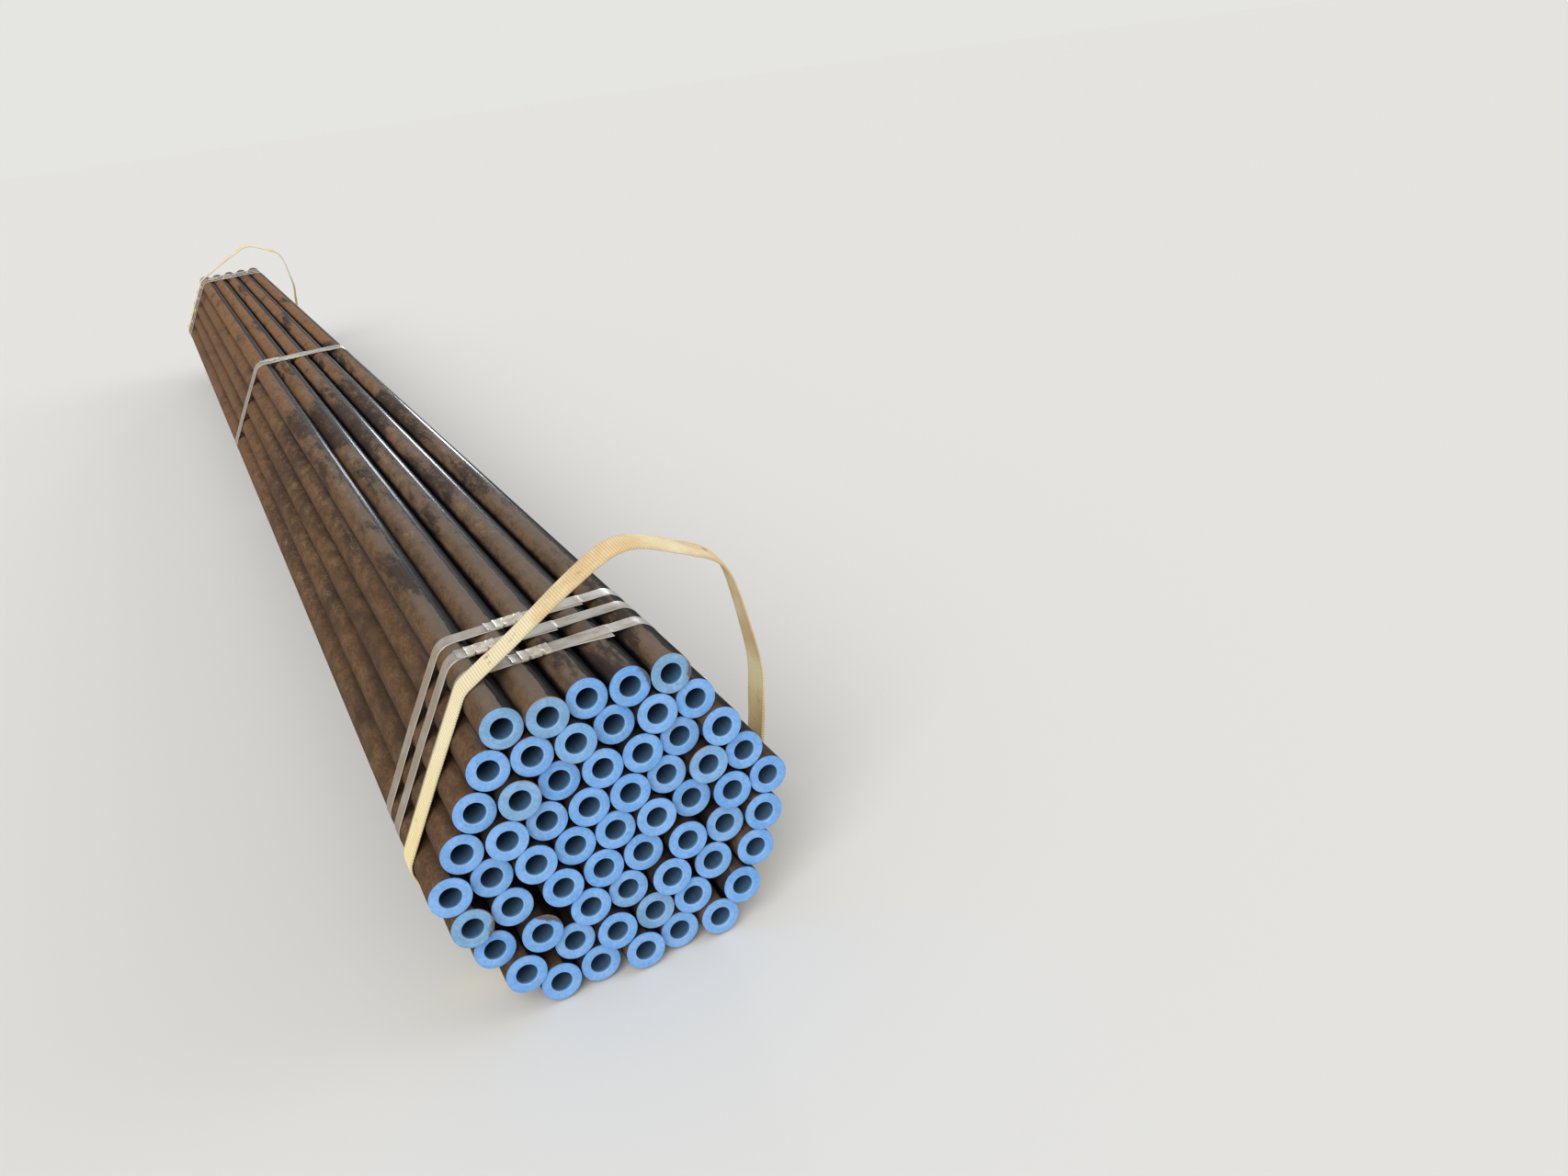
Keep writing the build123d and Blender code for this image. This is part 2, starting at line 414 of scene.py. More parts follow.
class PipePatterns:
    """Where a point of a pipe lies, how rusty, dusty, scaly or worn it is there, and where painted
    shade, sheen and sunlight fall on it.
    """

    def __init__(self, shader):
        self.shader = shader
        self.across, self.along, self.upwards = shader.parts(shader.attribute("from_axis"))
        self.radius = (self.across * self.across + self.upwards * self.upwards) ** 0.5
        marks = shader.attribute("pipe_marks")
        self.tone, self.bare, self.turn = shader.parts(marks)
        self.side, _, self.height = shader.parts(shader.place())
        shift = shader.stretched(marks, 9.0, 23.0, 5.0)
        self.spot = shader.vector_maths("ADD", shader.place(), shift)

        # Noise in lumps of several sizes
        self.patches = self.drawn_out(0.20, 9.0, 8.0, 0.66, 0.5)
        self.clouds = self.drawn_out(0.40, 42.0, 8.0, 0.68)
        self.flakes = self.drawn_out(0.55, 150.0, 7.0, 0.76)
        self.streaks = self.drawn_out(0.07, 130.0, 6.0, 0.66)
        self.grain = shader.noise(self.spot, 420.0, 3.0, 0.6)
        self.speckle = shader.noise(self.spot, 95.0, 5.0, 0.65)
        self.mottled = shader.noise(self.spot, 210.0, 6.0, 0.78, 0.3)
        self.pits = shader.noise(self.spot, 230.0, 6.0, 0.8).rising(0.57, 0.66)
        rings = shader.vector(self.radius * 520.0, self.tone * 40.0, 0.0)
        self.rings = shader.noise(rings, 1.0, 3.0, 0.7)

        # Rust and dust on the upper left side, and dark scale in patches. The dark right sides of
        # the pipes are painted shade
        clouds, flakes = self.clouds, self.flakes
        towards_dust = self.facing(-0.66, 0.75)
        self.flank = self.side.falling(*LEFT_FACE)
        self.right_side = self.side.rising(*RIGHT_FACE)
        # Weathering towards the rear, which also carries painted sunlight there as paler old rust
        self.weathered_and_sunlit = self.along.rising(*WEATHERED_AND_SUNLIT)
        # More dark scale patches in a band across the pack: a painted shadow
        banded = self.along.rising(*DARK_BAND_STARTS) * self.along.falling(*DARK_BAND_ENDS)
        scaly = self.patches + flakes * 0.26 + banded * 0.125 - self.weathered_and_sunlit * 0.04
        scaly = (scaly - self.tone * 0.04).rising(0.605, 0.695)
        self.scaly = scaly * (1 - self.flank * 0.6)
        rusty = clouds * 0.30 + flakes * 0.55 + self.streaks * 0.18 + towards_dust * 0.26
        rusty = rusty + self.weathered_and_sunlit * 0.10 + self.tone * 0.10 + self.flank * 0.06
        self.rusty = rusty.rising(0.42, 0.96)
        dusty = clouds * 0.6 + flakes * 0.6 + self.grain * 0.3 + towards_dust * 0.35
        self.dusty = dusty.rising(0.98, 1.30)
        lines = self.drawn_out(0.012, 300.0, 3.0, 0.6)
        self.scratched = lines.rising(0.56, 0.70) * clouds.rising(0.38, 0.62)
        # Painted shade: the right side of each pipe from just past its crest, and the valleys
        # between the top pipes
        shaded = self.facing(0.85, -0.25) + clouds * 0.3 + flakes * 0.15
        self.shaded = shaded.rising(0.12, 0.24).at_least(self.valley())

        # Ends
        self.front = self.along.falling(1.0, 2.0)
        length = max(high.y - low.y for low, high in solid_boxes("pipes_row_1"))
        rear = self.along.rising(length - SAW_DEPTH, length)
        self.sawn = self.along.falling(0.0, SAW_DEPTH) + rear
        self.in_bore = self.radius.falling(BORE_RADIUS + 0.00055, BORE_RADIUS + 0.00255)

    def drawn_out(self, squeeze, *look):
        """Noise that is drawn out along the pipe, the more so the smaller the squeeze."""
        return self.shader.noise(self.shader.stretched(self.spot, 1.0, squeeze, 1.0), *look)

    def facing(self, across, upwards):
        """1 where the pipe's outside faces this way, and -1 where it faces away."""
        return (self.across * across + self.upwards * upwards) / self.radius

    def top_row(self):
        lowest = solid_boxes(f"pipes_row_{ROWS}")[0][0].z
        return self.height.rising(lowest + 0.005, lowest + 0.010)

    def valley(self):
        """Painted shade on the lower sides of the top pipes, in the valleys between them, all but
        the left corner's.
        """
        low_down = (self.facing(0.0, 1.0) + self.clouds * 0.2).falling(0.46, 0.76)
        return low_down * self.side.rising(*PAST_CORNER) * self.top_row()

    def crest(self):
        """Painted sheen: greyer, lighter backs of the top pipes, which fade out away from the
        painted ends.
        """
        upper = self.facing(0.17, 0.985).rising(0.60, 1.0) * self.top_row()
        return upper * (1 - self.scaly * 0.7) * self.along.falling(1.0, 4.0)

    def rubbed(self):
        """Marks of the straightening rolls, in the dark patches."""
        turns = self.along * (math.tau / 0.0085) + self.across * 120.0 + self.upwards * 70.0
        rolled = (turns + self.clouds * 9.0).sine().rising(0.2, 1.0)
        worn = (self.clouds * 0.8 + self.grain * 0.6).rising(0.66, 0.86)
        return rolled * self.scaly * worn * self.along.rising(0.4, 0.9) * (1 - self.shaded)

    def marked(self):
        """Worn flecks of marking paint along the top of a pipe."""
        begun = self.along - self.turn * 0.5
        stretch = begun.rising(*MARKING_STARTS) * begun.falling(*MARKING_ENDS)
        flecks = self.drawn_out(0.6, 300.0, 3.0, 0.75).rising(0.53, 0.62)
        on_top = self.facing(-0.31, 0.95).rising(0.90, 0.98)
        return on_top * stretch * flecks * self.clouds.rising(0.46, 0.58)


def skin_colour(shader, settings, seen):
    """Rolled skin of a pipe: mill scale, rust and dust, with painted shade on its dark sides, a
    painted sheen on the top pipes and painted sunlight towards the rear.
    """
    clouds, weathered_and_sunlit, rusty = seen.clouds, seen.weathered_and_sunlit, seen.rusty
    rust = shader.layered(
        FRONT_RUST, (seen.flank.at_least(weathered_and_sunlit), settings.rust), (seen.flank, LEFT_RUST)
    )
    aged = (clouds * 0.5 + seen.flakes * 0.5 + weathered_and_sunlit * 0.06).rising(0.40, 0.60)
    dark = shader.mix(seen.right_side, SHADED, RIGHT_SHADED)
    sheltered_shade = shader.parts(shader.attribute("sheltered_shade"))[0]
    return shader.layered(
        BARE_SCALE,
        (clouds.rising(0.30, 0.70), settings.scale),
        (rusty * 0.92, rust),
        # Paler old rust towards the rear: partly old rust, partly painted sunlight
        (weathered_and_sunlit * rusty * aged * (0.80 - seen.flank * 0.45), settings.old_rust_and_sunlight),
        (seen.dusty * 0.6, settings.dust),
        (seen.pits * 0.55, PITTED),
        (seen.scaly * 0.85, SCALE_PATCH),
        (seen.scratched * 0.16, settings.dust),
        # Painted sheen on the backs of the top pipes
        (seen.crest() * 0.45, PAINTED_SHEEN),
        # Painted shade down the right sides and in the valleys, greyer and patchier on the pack's
        # right face
        (seen.shaded * (0.96 - seen.right_side * (clouds - 0.02)), dark),
        # Dust-free scale of the inner pipes, darkened further as painted shade between them
        (sheltered_shade * 0.8, SHELTERED_SHADE),
        (seen.rubbed() * 0.30, settings.dust),
        (seen.marked() * 0.52, MARKING),
        # Painted shade inside the bores
        (seen.in_bore * 0.6, BORE),
    )


def end_paint(shader, settings, seen):
    """How much paint a point has, the paint's colour, and how worn the rim is.

    The paint covers the front face and a little of the bore, and is worn off at the rim.
    """
    speckle, mottled, tone, bare = seen.speckle, seen.mottled, seen.tone, seen.bare
    brushed = shader.noise(seen.spot, 26.0, 4.0, 0.6, 0.6)
    reach = 0.0012 + speckle * 0.002 + seen.in_bore * (0.0005 + speckle * 0.006)
    covered = (reach - seen.along).rising(-0.0006, 0.0006)
    turned = seen.turn * math.tau
    bare_side = (seen.across * turned.cosine() + seen.upwards * turned.sine()) / PIPE_RADIUS
    worn = (speckle * 0.6 + tone * 0.35 + bare_side * 0.30 + bare * 0.5).rising(0.78, 0.94)
    rim = seen.radius.rising(PIPE_RADIUS - 0.00145, PIPE_RADIUS - 0.00045) * worn
    lost = (bare_side + speckle * 0.5 + bare * 1.6).rising(1.42, 1.60) * bare.rising(0.02, 0.12)
    thin = (speckle * 0.6 + brushed * 0.5 + bare * 0.25).rising(0.60, 0.92) * 0.55
    painted = covered * (1 - rim * 0.85) * (1 - lost * 0.9) * (1 - thin)
    # Painted shade: the paint darkens towards the outer rim
    outer_edge = seen.radius.rising(PIPE_RADIUS - 0.00395, PIPE_RADIUS - 0.00115)
    # Painted highlight: a pale ring round the edge of the bore
    inner_edge = seen.radius.falling(BORE_RADIUS + 0.00035, BORE_RADIUS + 0.00195)
    tint = shader.layered(
        srgb(104, 156, 216),
        (tone, settings.paint),
        (tone.rising(0.80, 0.95) * 0.55, srgb(110, 146, 158)),
        (brushed.rising(0.40, 0.70) * 0.55, srgb(146, 188, 236)),
        (seen.rings.rising(0.50, 0.70) * 0.40, srgb(90, 138, 200)),
        (outer_edge * 0.16, srgb(88, 134, 198)),
        (mottled.rising(0.50, 0.66) * 0.42, srgb(150, 188, 220)),
        (mottled.falling(0.36, 0.50) * 0.42, srgb(92, 138, 178)),
        (inner_edge * 0.32, srgb(176, 206, 236)),
        (seen.in_bore * seen.along.rising(0.0008, 0.003), settings.overspray),
    )
    return painted, tint, rim


def pipe_material(settings):
    """Rolled and sawn steel, with paint on its front ends."""
    shader = Shader("Pipe steel and end paint")
    seen = PipePatterns(shader)
    rings, clouds, speckle = seen.rings, seen.clouds, seen.speckle
    sawn_steel = shader.layered(
        SAW_GROOVE,
        (rings.rising(0.3, 0.7), settings.steel),
        (clouds.rising(0.45, 0.70) * 0.6, settings.rust),
        (seen.front * 0.8, FRONT_STEEL),
    )
    mist = (seen.along + speckle * 0.03).falling(0.01, 0.12) * (0.30 + seen.streaks * 0.50)
    painted, tint, rim = end_paint(shader, settings, seen)
    colour = shader.layered(
        skin_colour(shader, settings, seen),
        (seen.sawn, sawn_steel),
        (seen.in_bore * mist, settings.overspray),
        (painted, tint),
        (seen.along.falling(0.0008, 0.0020) * rim * 0.85, RIM_RUST),
    )

    skin_roughness = 0.44 + seen.rusty * 0.20 + seen.dusty * 0.16 + seen.grain * 0.10
    roughness = skin_roughness + (0.46 + speckle * 0.14 - skin_roughness) * painted
    shiny = seen.sawn * (0.7 - seen.front * 0.5) + seen.scratched * 0.25
    relief = seen.grain * 0.00004 + clouds * 0.00016 + seen.flakes * 0.00010
    relief = relief - seen.pits * 0.00005 + rings * seen.sawn * 0.00008
    relief = relief + painted * (speckle * 0.00008 + seen.mottled * 0.00006)
    gleam = seen.facing(0.50, 0.866).rising(0.88, 0.97) * 0.08
    edge_line = seen.facing(0.31, 0.951).rising(0.985, 0.997)
    gleam = gleam + edge_line * seen.along.falling(1.5, 3.0) * 0.34
    return shader.surface(
        base_color=colour,
        roughness=roughness,
        metallic=(1 - painted) * shiny * (1 - seen.rusty * 0.6),
        specular_ior_level=0.02,
        normal=shader.bump(relief),
        coat_weight=(1 - painted) * (gleam + seen.right_side * 0.06 + 0.01),
        coat_roughness=0.13,
        coat_ior=1.3,
    )


def strap_material(settings):
    """Steel strapping with dusty faces, and a painted highlight along its edges."""
    shader = Shader("Strap steel")
    place = shader.place()
    flat = shader.attribute("laid_flat")
    clouds = shader.noise(place, 26.0, 6.0, 0.6)
    streaks = shader.noise(shader.stretched(flat, 0.02, 1.0, 1.0), 500.0, 2.0)
    grain = shader.noise(place, 600.0, 2.0)
    # Painted highlight along the strap's edges
    edge = abs(shader.parts(flat)[1]).rising(0.0145, 0.0158)
    flank = shader.parts(place)[0].falling(-0.19, -0.13)
    grimy = (clouds * 0.9 + streaks * 0.3 + flank * 0.22).rising(0.45, 0.85) * (1 - edge * 0.7)
    colour = shader.layered(
        settings.steel,
        (grimy * 0.80, settings.grime),
        (edge * 0.6, srgb(222, 220, 212)),
        (streaks.rising(0.58, 0.72) * 0.22, srgb(120, 112, 100)),
    )
    relief = clouds * 0.0006 + streaks * 0.00006 + grain * 0.00003
    return shader.surface(
        base_color=colour,
        roughness=0.36 + grimy * 0.26 - edge * 0.08,
        metallic=0.45 - grimy * 0.3,
        normal=shader.bump(relief),
    )


def seal_material(settings):
    """Bright crimped sheet with dull creases."""
    shader = Shader("Seal steel")
    place = shader.place()
    clouds = shader.noise(place, 70.0, 5.0, 0.6)
    scuffs = shader.noise(shader.stretched(place, 0.15, 1.0, 0.15), 700.0, 2.0)
    dull = clouds.rising(0.42, 0.72)
    colour = shader.layered(
        settings.steel,
        (dull * 0.7, srgb(146, 134, 112)),
        (scuffs.rising(0.60, 0.72) * 0.5, srgb(96, 88, 78)),
    )
    return shader.surface(
        base_color=colour,
        roughness=0.34 + dull * 0.22,
        metallic=0.45 - dull * 0.2,
        normal=shader.bump(clouds * 0.0011 + scuffs * 0.00006),
    )


def webbing_material(settings):
    """Ribbed polyester webbing, soiled by handling, paler left of the pack and yellower low down as
    painted sunlight.
    """
    shader = Shader("Webbing")
    place = shader.place()
    along, across = shader.parts(shader.attribute("laid_flat"))[:2]
    side, _, upwards = shader.parts(place)
    rib = (along * (math.tau / settings.rib_pitch)).sine()
    warp = (across * (math.tau / 0.0021)).sine()
    fuzz = shader.noise(place, 900.0, 2.0)
    clouds = shader.noise(place, 9.0, 5.0, 0.6)
    spots = shader.noise(place, 42.0, 6.0, 0.65)
    # Ochre from handling, with less of it left of the pack, where the runs are painted as sunlit
    handling_and_light = clouds.rising(0.40, 0.64) * (1 - side.falling(-0.16, -0.08) * 0.75)
    stains = []
    for stain_along, stain_across, size in WEBBING_STAINS:
        off, aside = along - stain_along, across - stain_across
        away = (off * off + aside * aside) ** 0.5 + spots * 0.010
        stains.append((away.falling(size, size + 0.006) * 0.7, settings.soil))
    colour = shader.layered(
        settings.webbing,
        (handling_and_light * 0.75, settings.ochre),
        # Painted sunlight: the lower runs are yellower
        (upwards.falling(0.26, 0.42) * 0.5, srgb(244, 222, 140)),
        (rib.falling(-0.9, 0.1) * 0.34, srgb(150, 112, 68)),
        (abs(across).rising(0.019, 0.0245) * 0.25, settings.soil),
        (spots.rising(0.60, 0.78) * 0.65, settings.soil),
        *stains,
    )
    return shader.surface(
        base_color=colour,
        roughness=0.82,
        normal=shader.bump(rib * (warp * 0.25 + 1) * 0.00022 + fuzz * 0.00010),
        sheen_weight=0.15,
        sheen_roughness=0.5,
    )


def thread_material():
    """Brown sewing thread."""
    shader = Shader("Sewing thread")
    fuzz = shader.noise(shader.place(), 1500.0, 2.0)
    colour = shader.mix(fuzz, srgb(132, 108, 80), srgb(92, 74, 54))
    return shader.surface(base_color=colour, roughness=0.7, normal=shader.bump(fuzz * 0.0001))


# Shapes


def solid_boxes(node):
    """Boxes round the separate solids of a CAD node, from left to right."""
    bm = bmesh.new()
    bm.from_mesh(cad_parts[node].data)
    bmesh.ops.remove_doubles(bm, verts=bm.verts, dist=1e-6)
    boxes = []
    waiting = set(bm.verts)
    while waiting:
        found = [waiting.pop()]
        for vert in found:
            neighbours = {edge.other_vert(vert) for edge in vert.link_edges} & waiting
            waiting -= neighbours
            found.extend(neighbours)
        columns = list(zip(*(vert.co for vert in found)))
        boxes.append((Vector(map(min, columns)), Vector(map(max, columns))))
    bm.free()
    return sorted(boxes, key=lambda box: box[0].x)


def pack_circles():
    """Every pipe's section, as X, Z and radius."""
    circles = []
    for row in range(1, ROWS + 1):
        for low, high in solid_boxes(f"pipes_row_{row}"):
            circles.append(((low.x + high.x) / 2, (low.z + high.z) / 2, (high.z - low.z) / 2))
    return circles


def evenly_spaced(line, spacing):
    """The same closed line, with points about this far apart."""
    edges = list(zip(line, line[1:] + line[:1]))
    total = sum((there - here).length for here, there in edges)
    step = total / round(total / spacing)
    points = []
    travelled = 0.0
    for here, there in edges:
        edge = (there - here).length
        while len(points) * step < travelled + edge - 1e-9:
            points.append(here.lerp(there, (len(points) * step - travelled) / edge))
        travelled += edge
    return points, step


class Loop:
    """A closed line in X and Z. Distances run from its right side over the top."""

    def __init__(self, circles, stand_off):
        """Pull the line tight round circles, given as X, Z and radius."""
        tight = []
        for turn in range(LOOP_TURNS):
            angle = math.tau * turn / LOOP_TURNS
            normal = Vector((math.cos(angle), math.sin(angle)))
            furthest = max(circles, key=lambda c: c[0] * normal.x + c[1] * normal.y + c[2])
            tight.append(Vector(furthest[:2]) + normal * (furthest[2] + stand_off))
        self.points, self.step = evenly_spaced(tight, LOOP_SPACING)
        self.length = self.step * len(self.points)

    def relax(self, freedom, rounds):
        """Round the line off where it is free to move."""
        for turn in range(rounds):
            before = self.points
            self.points = []
            for number, point in enumerate(before):
                middle = (before[number - 1] + before[(number + 1) % len(before)]) / 2
                self.points.append(point.lerp(middle, freedom[number]))
        self.points, self.step = evenly_spaced(self.points, LOOP_SPACING)
        self.length = self.step * len(self.points)

    def at(self, distance):
        """Point and outward normal at a distance."""
        place = distance / self.step
        number = math.floor(place)
        around = [self.points[(number + offset) % len(self.points)] for offset in (-1, 0, 1, 2)]
        share = place - number
        tangent = (around[2] - around[0]).lerp(around[3] - around[1], share).normalized()
        return around[1].lerp(around[2], share), Vector((tangent.y, -tangent.x))

    def over(self, x):
        """Distance at which the line passes over an X."""
        upper = sorted(self.points, key=lambda point: point.y)[len(self.points) // 2].y
        aside = [
            (abs(point.x - x) if point.y > upper else 1.0, number)
            for number, point in enumerate(self.points)
        ]
        number = min(aside)[1]
        return number * self.step + self.points[number].x - x


def flat_section(width, thickness, columns, corner):
    """Points round a flat strip's section with rounded edges, as across and out."""
    half = width / 2 - corner
    face = [(half * (2 * column / columns - 1), 1.0) for column in range(columns + 1)]
    for turn in (60, 0, -60):
        angle = math.radians(turn)
        face.append((half + corner * math.cos(angle), math.sin(angle)))
    return [(side * across, side * out * thickness / 2) for side in (1, -1) for across, out in face]


def skin_along(bm, loop, places, section, middle, shape, closed=False):
    """Carry a section along a loop, through the given distances, and skin it.

    shape moves a point: it takes and gives the distance, across and out. Each vertex
    keeps its place on the flat strip in the attribute laid_flat.
    """
    flat = bm.verts.layers.float_vector.get("laid_flat")
    if flat is None:
        flat = bm.verts.layers.float_vector.new("laid_flat")
    steps = len(places) - 1
    grid = bmesh.ops.create_grid(bm, x_segments=steps, y_segments=len(section), size=1.0)
    for vert in grid["verts"]:
        place = places[round((vert.co.x + 1) / 2 * steps)]
        across, out = section[round((vert.co.y + 1) / 2 * len(section)) % len(section)]
        vert[flat] = (place, across, out)
        place, across, out = shape(place, across, out)
        point, normal = loop.at(place)
        vert.co = (point.x + normal.x * out, middle + across, point.y + normal.y * out)
    verts = grid["verts"]
    bmesh.ops.remove_doubles(bm, verts=verts, dist=1e-7)
    if not closed:
        ends = [edge for edge in bm.edges if edge.is_boundary]
        bmesh.ops.holes_fill(bm, edges=ends, sides=0)


def mesh_from(name, bm, *materials):
    """Mesh with what a bmesh holds. The bmesh is freed."""
    mesh = bpy.data.meshes.new(name)
    bm.to_mesh(mesh)
    bm.free()
    for material in materials:
        mesh.materials.append(material)
    return mesh


def placed(name, data):
    """New object in the scene."""
    made = bpy.data.objects.new(name, data)
    bpy.context.scene.collection.objects.link(made)
    return made


def piece(name, bm, material, slot, *nodes, sharp=30):
    """Finished object from a bmesh. It rides on the pack and stands for CAD nodes."""
    bmesh.ops.recalc_face_normals(bm, faces=bm.faces)
    made = placed(name, mesh_from(name, bm, material))
    made.data.shade_smooth()
    made.data.set_sharp_from_angle(angle=math.radians(sharp))
    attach(made, "root")
    if nodes:
        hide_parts(*nodes)
    return made


def pipe_blank(radius, length, settings):
    """Mesh of one pipe along Y with its front end at Y = 0."""
    bm = bmesh.new()
    bore = radius - PIPE_WALL
    corners = ((bore, 0), (radius, 0), (radius, length), (bore, length))
    verts = [bm.verts.new((x, y, 0)) for x, y in corners]
    edges = [bm.edges.new(pair) for pair in zip(verts, verts[1:] + verts[:1])]
    bmesh.ops.spin(
        bm,
        geom=verts + edges,
        cent=(0, 0, 0),
        axis=(0, 1, 0),
        dvec=(0, 0, 0),
        angle=math.tau,
        steps=settings.facets,
        use_merge=True,
    )
    bmesh.ops.recalc_face_normals(bm, faces=bm.faces)
    for ring, bevel in ((radius, settings.rim_bevel), (bore, settings.bore_bevel)):
        rim = []
        for edge in bm.edges:
            first, second = (vert.co for vert in edge.verts)
            if abs(first.y - second.y) < 1e-6 and abs(first.xz.length - ring) < 1e-5:
                if abs(second.xz.length - ring) < 1e-5:
                    rim.append(edge)
        bmesh.ops.bevel(
            bm,
            geom=rim,
            offset=bevel,
            affect="EDGES",
            segments=3,
            profile=0.5,
            material=-1,
        )
    return mesh_from("pipe_blank", bm)


def pipe_marks(row, number, chance):
    """Tone of a pipe, how bare its front end is, and the direction of that."""
    bare, turn = BARE_ENDS.get((row, number), (0.0, chance.random()))
    return Vector((chance.random(), bare, turn))


def lay_row(row, blank, chance, material):
    """One row of the pack as a joined mesh."""
    bm = bmesh.new()
    from_axis = bm.verts.layers.float_vector.new("from_axis")
    marks = bm.verts.layers.float_vector.new("pipe_marks")
    sheltered_shade = bm.verts.layers.float.new("sheltered_shade")
    boxes = solid_boxes(f"pipes_row_{row}")
    for number, (low, high) in enumerate(boxes, start=1):
        laid = len(bm.verts)
        bm.from_mesh(blank)
        bm.verts.ensure_lookup_table()
        centre = Vector(((low.x + high.x) / 2, low.y, (low.z + high.z) / 2))
        own_marks = pipe_marks(row, number, chance)
        # Inner pipes get dust-free scale, darkened as painted shade between the pipes
        inside = 1 < row < ROWS and 1 < number < len(boxes)
        for vert in bm.verts[laid:]:
            vert[from_axis] = vert.co
            vert[marks] = own_marks
            vert[sheltered_shade] = float(inside)
            vert.co += centre
    piece(f"row_{row}_pipes", bm, material, "pipe_steel", f"pipes_row_{row}", sharp=24)


def notched(distance, centre):
    """Share of the width that the crimps leave at a distance along the strap."""
    left = 1.0
    for notch in (-NOTCH_SPACING / 2, NOTCH_SPACING / 2):
        off = abs(distance - centre - notch) / (NOTCH_WIDTH / 2)
        if off < 1:
            left = 1 - (1 - off) * NOTCH_SHARE
    return left


class StrapRun:
    """One strap's run: from its lower end, once round the pack, and over its own end."""

    def __init__(self, name, circles):
        self.loop = Loop(circles, STRAP_CLEARANCE + STRAP_THICKNESS / 2)
        low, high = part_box(f"strap_{name}")
        self.middle = (low[1] + high[1]) / 2
        self.width = high[1] - low[1]
        low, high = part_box(f"seal_{name}")
        seal_x = (low[0] + high[0]) / 2
        self.start = self.loop.over(seal_x + SEAL_LENGTH / 2 + LAP_UNDER)
        self.seal = self.loop.over(seal_x)
        self.end = self.loop.over(seal_x - SEAL_LENGTH / 2 - LAP_OVER) + self.loop.length

    def places(self):
        """Distances to model: close together at the seal, wider apart elsewhere."""
        places = []
        place = self.start
        while place < self.end:
            places.append(place)
            from_seal = min(abs(place - self.seal), abs(place - self.seal - self.loop.length))
            stepping = abs(place - self.start - self.loop.length) < 0.01
            place += CLOSE_SPACING if from_seal < CLOSE_REACH or stepping else STRAP_SPACING
        return places + [self.end]


def wrap_strap(name, circles, settings, material, chance):
    """One strap with its lap, its crimps and its loose ends."""
    run = StrapRun(name, circles)
    phase = chance.uniform(0, math.tau)
    skew = chance.uniform(0.4, 1.0) * settings.tail_skew * chance.choice((-1, 1))
    if name in SKEWED_TAILS:
        skew = SKEWED_TAILS[name] * settings.tail_skew
    lift = STRAP_THICKNESS + LAP_CLEARANCE

    def shape(place, across, out):
        travelled = place - run.start
        turn = travelled / run.loop.length
        rise = min(max((turn - 1) * run.loop.length / JOGGLE + 1, 0.0), 1.0)
        out += lift * rise * rise * (3 - 2 * rise)
        across += settings.sway * math.sin(3 * math.tau * turn + phase)
        second_layer = travelled >= run.loop.length / 2
        across *= notched(place, run.seal + second_layer * run.loop.length)
        tail = LAP_UNDER - TAIL_HELD - travelled
        if tail > 0:
            across += skew * (tail / LAP_UNDER) ** 1.3
        tip = place - (run.end - LAP_OVER + TIP_HELD)
        if tip > 0:
            out += TIP_LIFT * (tip / LAP_OVER) ** 2
        return place, across, out

    bm = bmesh.new()
    section = flat_section(run.width, STRAP_THICKNESS, 8, STRAP_THICKNESS / 2)
    skin_along(bm, run.loop, run.places(), section, run.middle, shape)
    piece(f"strap_{name}_band", bm, material, "strap_steel", f"strap_{name}", sharp=50)


def seal_section(width, height):
    """Points round the folded sheet of a seal, as across and out from the lower face."""
    half = width / 2
    bend = 0.0006
    seam = SEAL_SEAM / 2
    right = [(seam, -SEAL_WALL), (half * 0.5, -SEAL_WALL), (half, -SEAL_WALL)]
    for turns, level, side in (((0, 45, 90), 0.0, -1), ((90, 45, 0), height, 1)):
        for turn in turns:
            angle = math.radians(turn)
            reach = half + (SEAL_WALL + bend) * math.sin(angle) - bend
            right.append((reach, level + side * SEAL_WALL * math.cos(angle)))
    right += [(half * share, height + SEAL_WALL) for share in (0.8, 0.55, 0.3, 0.1)]
    left = [(-across, out) for across, out in reversed(right)]
    corner = half - 0.0003
    inner_left = [(-seam, 0.0), (-corner, 0.0), (-corner, height)]
    inner_top = [(half * share, height) for share in (-0.7, -0.35, 0.0, 0.35, 0.7)]
    inner_right = [(corner, height), (corner, 0.0), (seam, 0.0)]
    return right + left + inner_left + inner_top + inner_right


